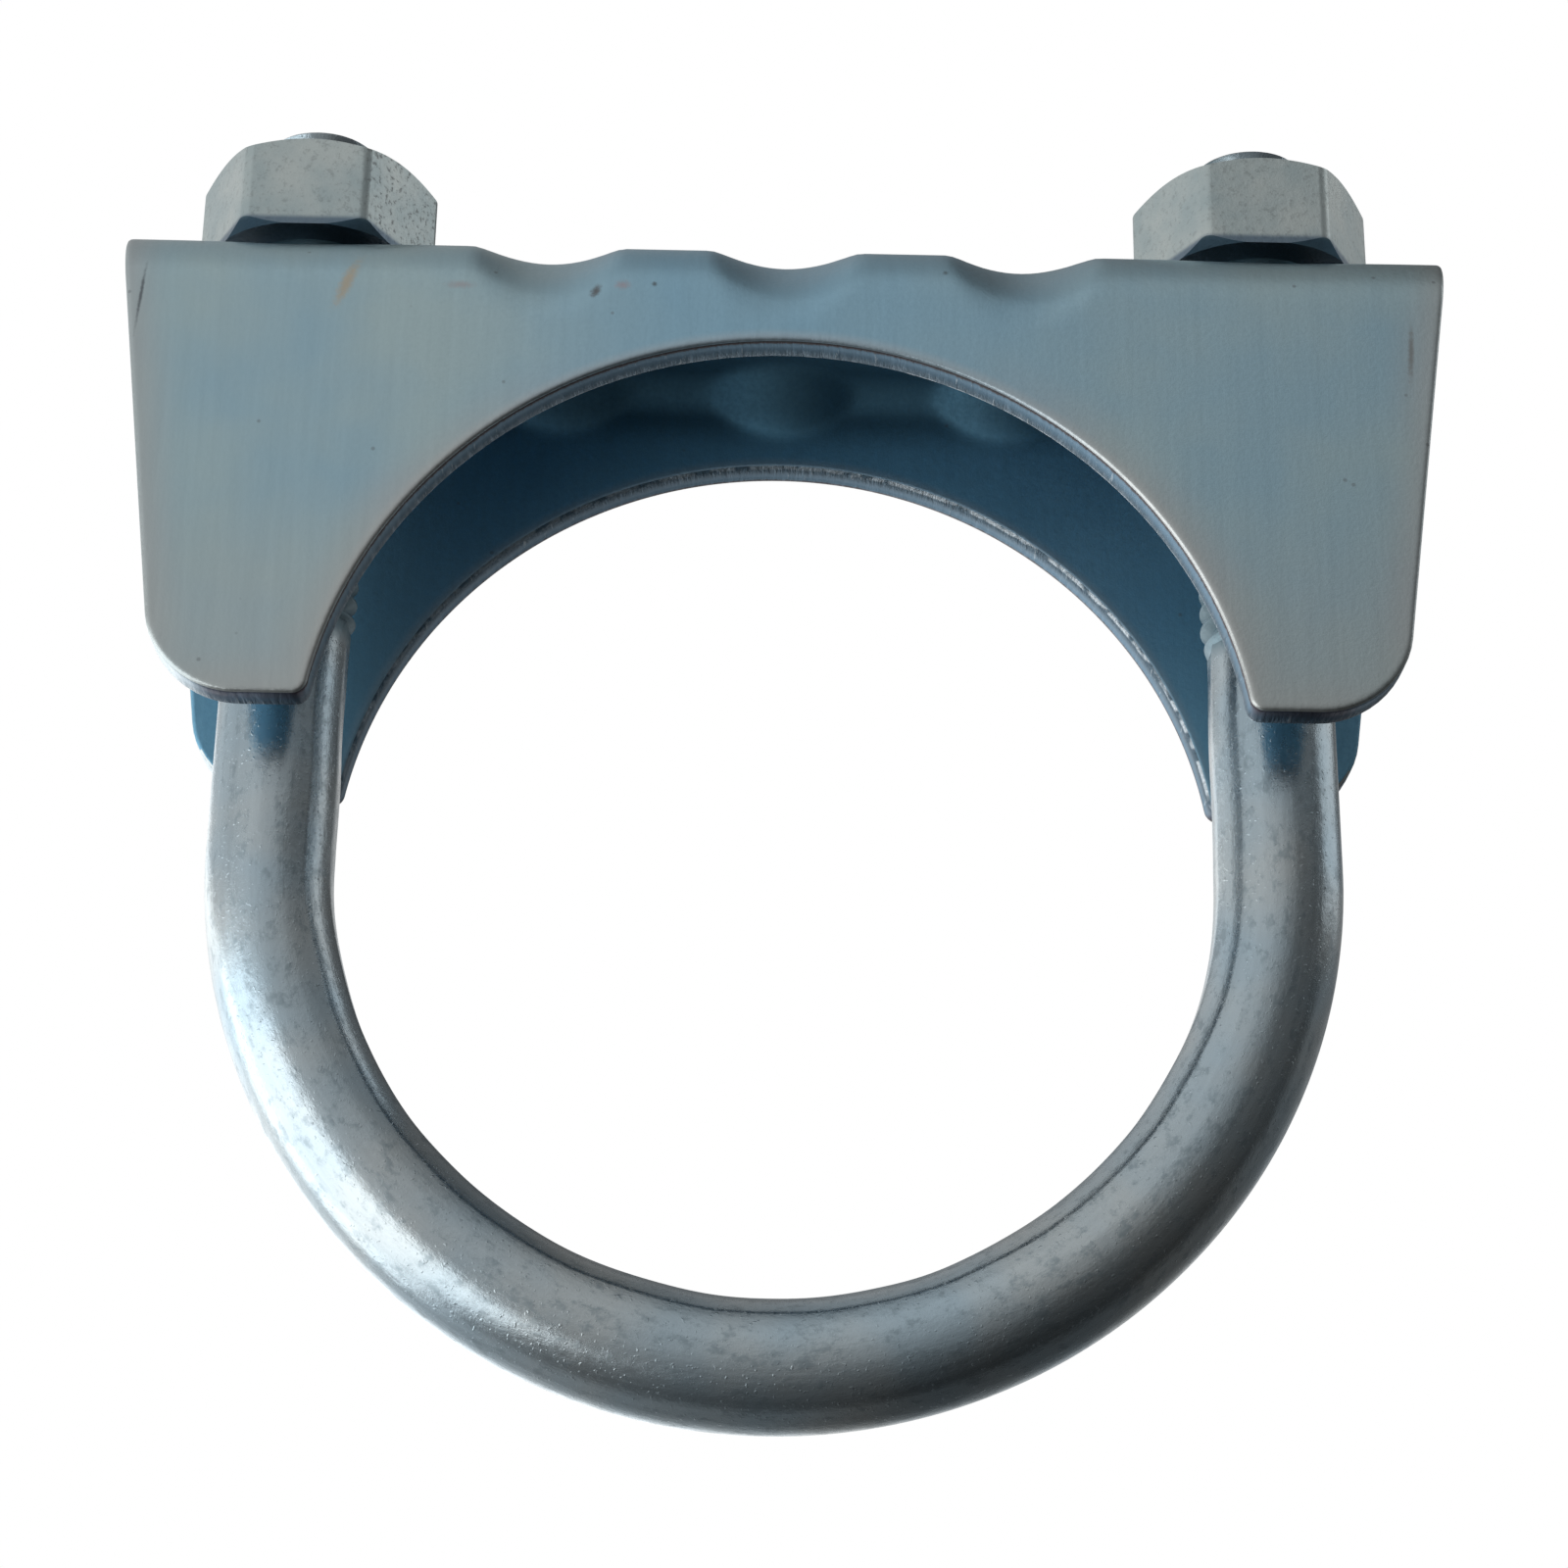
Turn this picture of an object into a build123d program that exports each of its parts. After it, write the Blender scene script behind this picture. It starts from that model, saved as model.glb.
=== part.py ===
from build123d import *
from math import cos, radians, sin, sqrt, tan
import os

# Exhaust clamp: a U-bolt, a pressed saddle that slides on its legs, and two nuts.
# Millimetres. The origin is on the pipe's axis, at the centre of the U-bolt's bend.
# +Z runs up the legs to the nuts, Y along the pipe, X across the clamp.

# U-bolt
pipe_diameter = 52.0
rod_diameter = 7.75
land_depth = 0.35  # how much the inner side of the rod is flattened
land_width = 2.2
crease_angle = 50.0  # from the inward direction to where the flattening meets the round rod
stud_diameter = 7.9  # over the rolled thread
stud_end = 47.0  # height of the stud ends over the pipe's axis
thread_start = 15.3
end_chamfer = 0.9
thread_runout = 1.2  # length of the cone from the rod up to the thread

# Saddle
sheet = 2.2
saddle_depth = 19.2  # over the outer faces of the two flanges
top_overhang = 10.5  # from the leg's centre out to the end of the web
foot_overhang = 6.2
arch_ease = 1.25  # how much larger than the pipe the arch is struck
open_gap = 3.5  # from the pipe to the crown of the arch, with the clamp slack
foot_height = 4.15  # from the centre of the arch up to the feet
crown_depth = 7.85  # from the crown of the arch to the top of the web
foot_corner = 5.5
toe_corner = 0.9  # where the arch runs out at the foot
bend_radius = 2.3  # inside the fold
die_roll = 0.45
leg_clearance = 0.55

# Gussets pressed into the two folds
gusset_count = 3
gusset_spacing = 14.4
gusset_reach = 3.4  # from the inner corner of the fold to where the bump ends on each wall
dent_radius = 5.0  # of the punch that presses the fold in from outside

# Nuts
across_flats = 13.0
nut_height = 6.3
nut_gap = 1.25  # from the web up to the slack nuts
thread_clearance = 0.05
top_chamfer = 0.95
bottom_chamfer = 0.55
chamfer_angle = 32.0
countersink = 0.6

# Places worked out from the sizes
pipe_radius = pipe_diameter / 2
rod_radius = rod_diameter / 2
stud_radius = stud_diameter / 2
leg_x = pipe_radius + rod_radius - land_depth
top_width = 2 * (leg_x + top_overhang)
foot_width = 2 * (leg_x + foot_overhang)
arch_radius = pipe_radius + arch_ease
arch_z = open_gap - arch_ease
foot_z = arch_z + foot_height
top_z = arch_z + arch_radius + crown_depth
nut_z = top_z + nut_gap
half_depth = saddle_depth / 2
outer_bend = bend_radius + sheet
bump_radius = dent_radius + sheet
gusset_x = [(i - (gusset_count - 1) / 2) * gusset_spacing for i in range(gusset_count)]

os.makedirs("parts", exist_ok=True)


def on_outer_rim(edge):
    """Is this edge on the outer face of the folded sheet, where the blank was cut?"""
    front_or_back = all(abs(abs(edge.position_at(t).Y) - half_depth) < 1e-3 for t in (0, 0.5, 1))
    below_fold = edge.center().Z < top_z - outer_bend - 1e-3
    return front_or_back and below_fold


# U-bolt: one bent rod, flattened along its inner side, with a rolled thread on each leg
with BuildPart() as u_bolt:
    with BuildLine(Plane.XZ) as route:
        Line((-leg_x, thread_start), (-leg_x, 0))
        CenterArc((0, 0), leg_x, 180, 180)
        Line((leg_x, 0), (leg_x, thread_start))
    # In the section, +X points at the pipe
    with BuildSketch(Plane(origin=(-leg_x, 0, thread_start), x_dir=(1, 0, 0), z_dir=(0, 0, -1))):
        crease = (rod_radius * cos(radians(crease_angle)), rod_radius * sin(radians(crease_angle)))
        land = (rod_radius - land_depth, land_width / 2)
        with BuildLine():
            Polyline((crease[0], -crease[1]), (land[0], -land[1]), land, crease)
            ThreePointArc(crease, (-rod_radius, 0), (crease[0], -crease[1]))
        make_face()
    sweep(path=route.line)
    for x in (-leg_x, leg_x):
        with BuildSketch(Plane.XZ):
            with BuildLine():
                Polyline(
                    (x, thread_start - thread_runout),
                    (x + rod_radius - land_depth, thread_start - thread_runout),
                    (x + stud_radius, thread_start),
                    (x + stud_radius, stud_end - end_chamfer),
                    (x + stud_radius - end_chamfer, stud_end),
                    (x, stud_end),
                    close=True,
                )
            make_face()
        revolve(axis=Axis((x, 0, 0), (0, 0, 1)))
u_bolt.part.label = "u_bolt"
export_step(u_bolt.part, "parts/u_bolt.step")


# Space inside the folded sheet, with the bumps that the gussets raise in its corners
with BuildPart() as channel:
    with BuildSketch(Plane.YZ) as channel_profile:
        with BuildLine():
            Polyline(
                (sheet - half_depth, foot_z - sheet),
                (sheet - half_depth, top_z - sheet),
                (half_depth - sheet, top_z - sheet),
                (half_depth - sheet, foot_z - sheet),
                close=True,
            )
        make_face()
        fillet(channel_profile.vertices().group_by(Axis.Y)[-1], bend_radius)
    extrude(amount=top_width, both=True)
    for side in (-1, 1):
        offset_out = bump_radius - gusset_reach / sqrt(2)
        corner = Vector(0, side * (half_depth - sheet), top_z - sheet)
        axis_point = corner + Vector(0, side, 1).normalized() * offset_out
        with BuildSketch(Plane(origin=axis_point, x_dir=(1, 0, 0), z_dir=(0, -side, 1))):
            with Locations([(x, 0) for x in gusset_x]):
                Circle(bump_radius)
        extrude(amount=half_depth, both=True, mode=Mode.SUBTRACT)


# Saddle: one sheet, blanked, arched and folded into a channel that straddles the U-bolt
with BuildPart() as saddle:
    with BuildSketch(Plane.XZ) as outline:
        with BuildLine():
            Polyline(
                (-top_width / 2, top_z),
                (top_width / 2, top_z),
                (foot_width / 2, foot_z),
                (-foot_width / 2, foot_z),
                close=True,
            )
        make_face()
        fillet(outline.vertices().group_by(Axis.Y)[0], foot_corner)
        with Locations((0, arch_z)):
            Circle(arch_radius, mode=Mode.SUBTRACT)
        toes = outline.vertices().group_by(Axis.Y)[0].sort_by(Axis.X)[1:-1]
        fillet(toes, toe_corner)
    extrude(amount=half_depth, both=True)
    folds = saddle.faces().sort_by(Axis.Z)[-1].edges().filter_by(Axis.X)
    fillet(folds, outer_bend)
    add(channel.part, mode=Mode.SUBTRACT)
    with Locations(Plane.XY.offset(top_z)):
        with Locations((-leg_x, 0), (leg_x, 0)):
            Hole(stud_radius + leg_clearance, depth=2 * sheet)
    # The blanking die leaves a rolled edge along the outer face, all round the blank
    rim = [edge for edge in saddle.edges() if on_outer_rim(edge)]
    chamfer(rim, die_roll)
    for side in (-1, 1):
        corner = Vector(0, side * half_depth, top_z)
        dent_depth = gusset_reach / sqrt(2) + sqrt(2) * sheet - sheet
        axis_point = corner + Vector(0, side, 1).normalized() * (dent_radius - dent_depth)
        with BuildSketch(Plane(origin=axis_point, x_dir=(1, 0, 0), z_dir=(0, -side, 1))):
            with Locations([(x, 0) for x in gusset_x]):
                Circle(dent_radius)
        extrude(amount=half_depth, both=True, mode=Mode.SUBTRACT)
saddle.part.label = "saddle"
export_step(saddle.part, "parts/saddle.step")


# Nuts: hexagons with a flat to the front, chamfered at both ends and slack above the web
for name, x in (("nut_left", -leg_x), ("nut_right", leg_x)):
    with BuildPart() as nut:
        with BuildSketch(Plane.XY.offset(nut_z)):
            with Locations((x, 0)):
                RegularPolygon(across_flats / 2, 6, major_radius=False)
        extrude(amount=nut_height)
        corner_radius = across_flats / sqrt(3)
        with BuildSketch(Plane.XZ):
            with BuildLine():
                Polyline(
                    (x, nut_z),
                    (x + corner_radius - bottom_chamfer / tan(radians(chamfer_angle)), nut_z),
                    (x + corner_radius, nut_z + bottom_chamfer),
                    (x + corner_radius, nut_z + nut_height - top_chamfer),
                    (x + corner_radius - top_chamfer / tan(radians(chamfer_angle)), nut_z + nut_height),
                    (x, nut_z + nut_height),
                    close=True,
                )
            make_face()
        revolve(axis=Axis((x, 0, 0), (0, 0, 1)), mode=Mode.INTERSECT)
        with Locations(Plane.XY.offset(nut_z + nut_height)):
            with Locations((x, 0)):
                Hole(stud_radius + thread_clearance, depth=nut_height)
        bore_edges = nut.edges().filter_by(GeomType.CIRCLE).sort_by(lambda edge: edge.radius)[:2]
        chamfer(bore_edges, countersink)
    nut.part.label = name
    export_step(nut.part, f"parts/{name}.step")
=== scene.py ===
import math

import bmesh
import bpy
from mathutils import Matrix, Vector, noise


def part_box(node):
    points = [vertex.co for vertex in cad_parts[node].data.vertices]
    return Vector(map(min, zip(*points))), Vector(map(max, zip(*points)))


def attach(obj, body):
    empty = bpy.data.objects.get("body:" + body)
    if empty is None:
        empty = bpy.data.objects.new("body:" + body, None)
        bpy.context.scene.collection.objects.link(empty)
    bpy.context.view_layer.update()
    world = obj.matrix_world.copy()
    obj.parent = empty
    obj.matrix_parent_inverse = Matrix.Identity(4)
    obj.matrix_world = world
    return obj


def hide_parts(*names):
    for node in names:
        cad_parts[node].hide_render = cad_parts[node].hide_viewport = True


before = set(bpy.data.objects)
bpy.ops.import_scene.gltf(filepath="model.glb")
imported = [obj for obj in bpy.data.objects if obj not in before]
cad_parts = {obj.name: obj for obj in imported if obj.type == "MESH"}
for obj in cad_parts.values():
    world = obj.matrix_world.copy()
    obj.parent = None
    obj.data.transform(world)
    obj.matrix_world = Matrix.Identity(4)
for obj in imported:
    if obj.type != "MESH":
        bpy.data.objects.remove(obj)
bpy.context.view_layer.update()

# Sizes in metres: the outer ones come from the frame, and the rest are the part's own
MM = 0.001
saddle_low, saddle_high = (Vector(corner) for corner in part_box("saddle"))
nut_low, nut_high = (Vector(corner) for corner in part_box("nut_left"))
LEG_X = -(nut_low.x + nut_high.x) / 2
TOP_HALF, HALF_DEPTH, TOP_Z = saddle_high
FOOT_Z = saddle_low.z
NUT_Z, NUT_TOP = nut_low.z, nut_high.z
STUD_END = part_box("u_bolt")[1][2]

# U-bolt
PIPE_RADIUS = 26.0 * MM
ROD_RADIUS = 3.875 * MM
LAND_DEPTH = 0.35 * MM  # how much the inner side is flattened
LAND_HALF = 1.1 * MM
CREASE_ANGLE = math.radians(50)  # from the inward direction to where the round rod starts
LAND_WAVE = 0.13 * MM  # height and length of the waves that bending leaves in the flattened side
LAND_WAVE_LENGTH = 5.5 * MM
LAND_WAVE_START = LEG_X - 1.5 * MM  # out from the pipe's axis, where the waves begin to grow inwards
PITCH = 1.25 * MM
STUD_RADIUS = 3.95 * MM
STUD_ROOT = 3.2 * MM
THREAD_DEPTH = STUD_RADIUS - STUD_ROOT
THREAD_START = 15.3 * MM
RUN_OUT = 1.2 * MM
LEG_END = THREAD_START - 0.5 * MM  # of the smooth rod
LEG_SHOULDER = 0.45 * MM
THREAD_FOOT = LEG_END - RUN_OUT  # of the screw skin, hidden in the rod
THREAD_FADE = 2.2 * RUN_OUT
START_DEPTH = 0.35 * MM  # over the root, where the thread starts
CORE_EASE = 0.3 * MM  # how much higher the grooves' floor stands there
END_CHAMFER = 0.6 * MM
END_INSET = 0.7 * MM  # from the chamfer in to the points that are sunk for a shallow dish
END_DISH = 0.3 * MM
END_CORE = 1.5 * MM  # nearer to the axis than this, the thread's shape leaves all points alone

# Saddle
SHEET = 2.2 * MM
INNER = HALF_DEPTH - SHEET
FOLD = 2.3 * MM  # inside the fold
FOOT_HALF = LEG_X + 6.2 * MM
ARCH_RADIUS = PIPE_RADIUS + 1.25 * MM
ARCH_Z = 2.25 * MM
FOOT_CORNER = 5.5 * MM
TOE_CORNER = 0.9 * MM
DIE_ROLL = 0.55 * MM
INNER_ROLL = 0.3 * MM
RIM_ANGLE = math.radians(40)  # an edge of the blank sharper than this is one of its rims
HOLE_RADIUS = STUD_RADIUS + 0.55 * MM
BAND_Z = TOP_Z - 6.8 * MM  # the flanges are plane below this height
HOLLOW_Z = TOP_Z - 12 * MM  # in the hollow of the channel, which its inner faces look towards
END_COLUMN = 1.2 * MM  # of the mesh at each end, wide enough for the rolled rim

# Gussets, and the dishing of the web around the legs
GUSSET_SPACING = 14.4 * MM
GUSSETS = (-GUSSET_SPACING, 0.0, GUSSET_SPACING)
GUSSET_REACH = 3.4 * MM
DENT_RADIUS = 5.0 * MM
DENT_RELIEF = 0.2 * MM  # how much shallower the dents outside are than the punch
DENT_SOFTNESS = 2.0 * MM
BUMP_RADIUS = DENT_RADIUS + SHEET
BUMP_SOFTNESS = 0.5 * MM
WEB_DISH = 0.14 * MM
WEB_DISH_RADIUS = 4.0 * MM

# Nuts
FLATS = 13.0 * MM
BORE = 4.0 * MM
COUNTERSINK = 0.6 * MM
TOP_CHAMFER = 0.95 * MM
BOTTOM_CHAMFER = 0.55 * MM
CHAMFER_SLOPE = math.tan(math.radians(32))
POST_ROUND = 0.5 * MM

# Steps of the meshes, and how closely their points are told apart
ROD_SIDES = 72
BEND_STEPS = 160
LEG_STEPS = 24
THREAD_STEPS = 48  # to a turn
NUT_STEPS = 120
ARCH_STEPS = 240
TOE_STEPS = 10
WEB_CUTS = 19
FLANGE_CUTS = 6  # above the band
COLUMNS = 160  # along the saddle
MERGE = 1e-7  # points nearer than this are one
CUT = 1e-8  # and points nearer to a cutting plane than this are on it
SLACK = 1e-6  # and how far off a point may be where it is looked up by its place


def linear(code):
    """A linear colour from an sRGB hex code."""
    parts = [int(code[i:i + 2], 16) / 255 for i in (1, 3, 5)]
    return [c / 12.92 if c <= 0.04045 else ((c + 0.055) / 1.055) ** 2.4 for c in parts] + [1.0]


def per(*sizes):
    """The scale of a pattern whose grains have this size in millimetres, or these sizes along X, Y and Z."""
    scales = [1 / (size * MM) for size in sizes]
    return scales if len(scales) > 1 else scales[0]


def add(tree, kind, settings=None, **links):
    """Adds one node with its settings. Each input is named, with _ for a space, or numbered, as in _0,
    and is set to a value, or linked to a socket or to another node's output."""
    node = tree.nodes.new(kind)
    for name, value in (settings or {}).items():
        setattr(node, name, value)
    for name, value in links.items():
        key = int(name[1:]) if name[1:].isdigit() else name.replace("_", " ")
        if isinstance(value, bpy.types.Node):
            value = next(socket for socket in value.outputs if socket.enabled)
        if isinstance(value, bpy.types.NodeSocket):
            tree.links.new(value, node.inputs[key])
        else:
            node.inputs[key].default_value = value
    return node


# Settings that many nodes share
TINT = {"data_type": "RGBA"}
SHADE = {"data_type": "RGBA", "blend_type": "MULTIPLY"}
SMOOTH = {"interpolation_type": "SMOOTHSTEP"}
TIMES = {"operation": "MULTIPLY"}
TIMES_PLUS = {"operation": "MULTIPLY_ADD"}
MINUS = {"operation": "SUBTRACT"}
UNSIGNED = {"operation": "ABSOLUTE"}
LENGTH = {"operation": "LENGTH"}


def metal(name):
    """A new metal finish: its material, its nodes, its shader and its Object coordinates."""
    material = bpy.data.materials.new(name)
    material.use_nodes = True
    tree = material.node_tree
    shader = tree.nodes["Principled BSDF"]
    shader.inputs["Metallic"].default_value = 1.0
    return material, tree, shader, add(tree, "ShaderNodeTexCoord").outputs["Object"]


def plate(tree, shader, colour, shine, height, depth_mm):
    """Links a colour, a roughness and a bump of the given depth to the shader."""
    bump = add(tree, "ShaderNodeBump", Height=height, Strength=1.0, Distance=depth_mm * MM)
    for node, socket in ((colour, "Base Color"), (shine, "Roughness"), (bump, "Normal")):
        source = next(output for output in node.outputs if output.enabled)
        tree.links.new(source, shader.inputs[socket])


# Stains on the front flange, and a dark line painted as the shade of a small dent by the left edge,
# in millimetres: centre x and z, half width, half length, lean in radians, colour and how strong it is
STAINS_AND_DENT_SHADE = (
    (-26.1, 32.9, 0.5, 2.2, 0.36, "#b59c78", 0.6),
    (-11.3, 32.6, 0.36, 0.6, 0.4, "#54443a", 0.75),
    (-9.7, 33.0, 0.6, 0.4, 0.0, "#a58f92", 0.55),
    (-19.4, 32.8, 1.1, 0.35, 0.0, "#a08f90", 0.45),
    (-7.8, 33.1, 0.22, 0.22, 0.0, "#4c4640", 0.7),
    (9.6, 34.4, 0.22, 0.22, 0.0, "#4c4640", 0.6),
    (37.2, 29.4, 0.25, 2.4, 0.06, "#6b5848", 0.5),
    # painted shade: a dark line where a small dent by the left edge is shaded
    (-38.3, 31.6, 0.14, 2.6, 0.07, "#41434a", 0.7),
)


def pressed_sheet(name, clouds, crown, feet, warm, roughness, stains_and_dent_shade):
    """Blue-passivated zinc on cold-rolled sheet, pressed. It is a satin grey-blue with faint clouds and
    fine drag lines down the flanges, bluer over the crown of the arch, greyer at the feet and warmer
    where the film thins towards the blanked edges. A highlight is painted along the rim of the arch,
    and on the inside finish shade is painted up in the fold."""
    material, tree, shader, place = metal(name)
    at = add(tree, "ShaderNodeSeparateXYZ", Vector=place)
    cloud = add(tree, "ShaderNodeTexNoise", Vector=place, Scale=per(11), Detail=3.0, Roughness=0.5)
    grain = add(tree, "ShaderNodeTexNoise", Vector=place, Scale=per(0.3), Detail=3.0, Roughness=0.65)
    drag_place = add(tree, "ShaderNodeMapping", Vector=place, Scale=per(0.5, 1.5, 9))
    drag = add(tree, "ShaderNodeTexNoise", Vector=drag_place, Scale=1.0, Detail=3.0, Roughness=0.6)
    clouded = add(tree, "ShaderNodeMapRange", Value=cloud, From_Min=0.35, From_Max=0.65)
    colour = add(tree, "ShaderNodeMix", TINT, _0=clouded, _6=linear(clouds[0]), _7=linear(clouds[1]))

    # how near the blanked edge is: the arch, the foot, and the leaning ends
    centre = add(tree, "ShaderNodeVectorMath", TIMES_PLUS, _0=place, _1=(1, 0, 1), _2=(0, 0, -ARCH_Z))
    arch = add(tree, "ShaderNodeVectorMath", LENGTH, _0=centre)
    from_arch = add(tree, "ShaderNodeMath", MINUS, _0=arch, _1=ARCH_RADIUS)
    from_foot = add(tree, "ShaderNodeMath", MINUS, _0=at.outputs["Z"], _1=FOOT_Z)
    lean = (TOP_HALF - FOOT_HALF) / (TOP_Z - FOOT_Z)
    end = add(tree, "ShaderNodeMath", TIMES_PLUS, _0=from_foot, _1=lean, _2=FOOT_HALF)
    side = add(tree, "ShaderNodeMath", UNSIGNED, _0=at.outputs["X"])
    from_end = add(tree, "ShaderNodeMath", MINUS, _0=end, _1=side)
    near = add(tree, "ShaderNodeMath", {"operation": "SMOOTH_MIN"}, _0=from_arch, _1=from_foot, _2=2 * MM)
    near = add(tree, "ShaderNodeMath", {"operation": "SMOOTH_MIN"}, _0=near, _1=from_end, _2=2 * MM)

    # the warm border, which wanders with the clouds and fades out towards the crown
    wander = add(tree, "ShaderNodeMath", TIMES_PLUS, _0=cloud, _1=3 * MM, _2=near)
    border = add(tree, "ShaderNodeMapRange", {"interpolation_type": "SMOOTHERSTEP"}, Value=wander,
                 From_Min=0.6 * MM, From_Max=5.0 * MM, To_Min=0.6, To_Max=0.0)
    from_crown = add(tree, "ShaderNodeMapRange", SMOOTH, Value=side, From_Min=6 * MM, From_Max=22 * MM)
    border = add(tree, "ShaderNodeMath", TIMES, _0=border, _1=from_crown)
    colour = add(tree, "ShaderNodeMix", TINT, _0=border, _6=colour, _7=linear(warm))

    bluer = add(tree, "ShaderNodeMath", TIMES_PLUS, _0=from_crown, _1=-0.6, _2=0.6)
    colour = add(tree, "ShaderNodeMix", TINT, _0=bluer, _6=colour, _7=linear(crown))
    # a painted highlight: a lighter line along the rolled rim of the arch
    rim = add(tree, "ShaderNodeMapRange", SMOOTH, Value=from_arch,
              From_Min=0.1 * MM, From_Max=0.9 * MM, To_Min=0.35, To_Max=0.0)
    colour = add(tree, "ShaderNodeMix", TINT, _0=rim, _6=colour, _7=linear("#c4c0bd"))
    lower = add(tree, "ShaderNodeMapRange", SMOOTH, Value=from_foot,
                From_Min=1 * MM, From_Max=15 * MM, To_Min=0.45, To_Max=0.0)
    colour = add(tree, "ShaderNodeMix", TINT, _0=lower, _6=colour, _7=linear(feet))

    # drag lines and small dull specks
    lines = add(tree, "ShaderNodeMapRange", Value=drag, From_Min=0.3, From_Max=0.75, To_Min=0.97, To_Max=1.03)
    colour = add(tree, "ShaderNodeMix", SHADE, _0=1.0, _6=colour, _7=lines)
    dots = add(tree, "ShaderNodeTexVoronoi", Vector=place, Scale=per(2.6), Randomness=1.0)
    dot = add(tree, "ShaderNodeMapRange", Value=dots, From_Min=0.03, From_Max=0.06, To_Min=0.5, To_Max=0.0)
    colour = add(tree, "ShaderNodeMix", TINT, _0=dot, _6=colour, _7=linear("#6f7477"))

    if stains_and_dent_shade:
        for x, z, width, length, turn, code, strength in STAINS_AND_DENT_SHADE:
            spot = add(tree, "ShaderNodeMapping", {"vector_type": "TEXTURE"}, Vector=place,
                       Location=(x * MM, -HALF_DEPTH, z * MM), Rotation=(0, turn, 0),
                       Scale=(width * MM, 2 * MM, length * MM))
            away = add(tree, "ShaderNodeVectorMath", LENGTH, _0=spot)
            frayed = add(tree, "ShaderNodeMath", TIMES_PLUS, _0=grain, _1=1.2, _2=away)
            amount = add(tree, "ShaderNodeMapRange", SMOOTH, Value=frayed,
                         From_Min=0.7, From_Max=1.7, To_Min=strength, To_Max=0.0)
            colour = add(tree, "ShaderNodeMix", TINT, _0=amount, _6=colour, _7=linear(code))
    else:
        # painted shade: the colour is darker up in the fold, inside the channel
        painted_fold_shade = add(tree, "ShaderNodeMapRange", SMOOTH, Value=at.outputs["Z"],
                     From_Min=TOP_Z - 7 * MM, From_Max=TOP_Z - 4 * MM, To_Min=1.0, To_Max=0.5)
        colour = add(tree, "ShaderNodeMix", SHADE, _0=1.0, _6=colour, _7=painted_fold_shade)

    shine = add(tree, "ShaderNodeMapRange", Value=grain, From_Min=0.3, From_Max=0.7,
                To_Min=roughness[0], To_Max=roughness[1])
    height = add(tree, "ShaderNodeMix", {"data_type": "FLOAT"}, _0=0.3, _2=grain, _3=drag)
    plate(tree, shader, colour, shine, height, 0.02)
    return material


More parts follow.
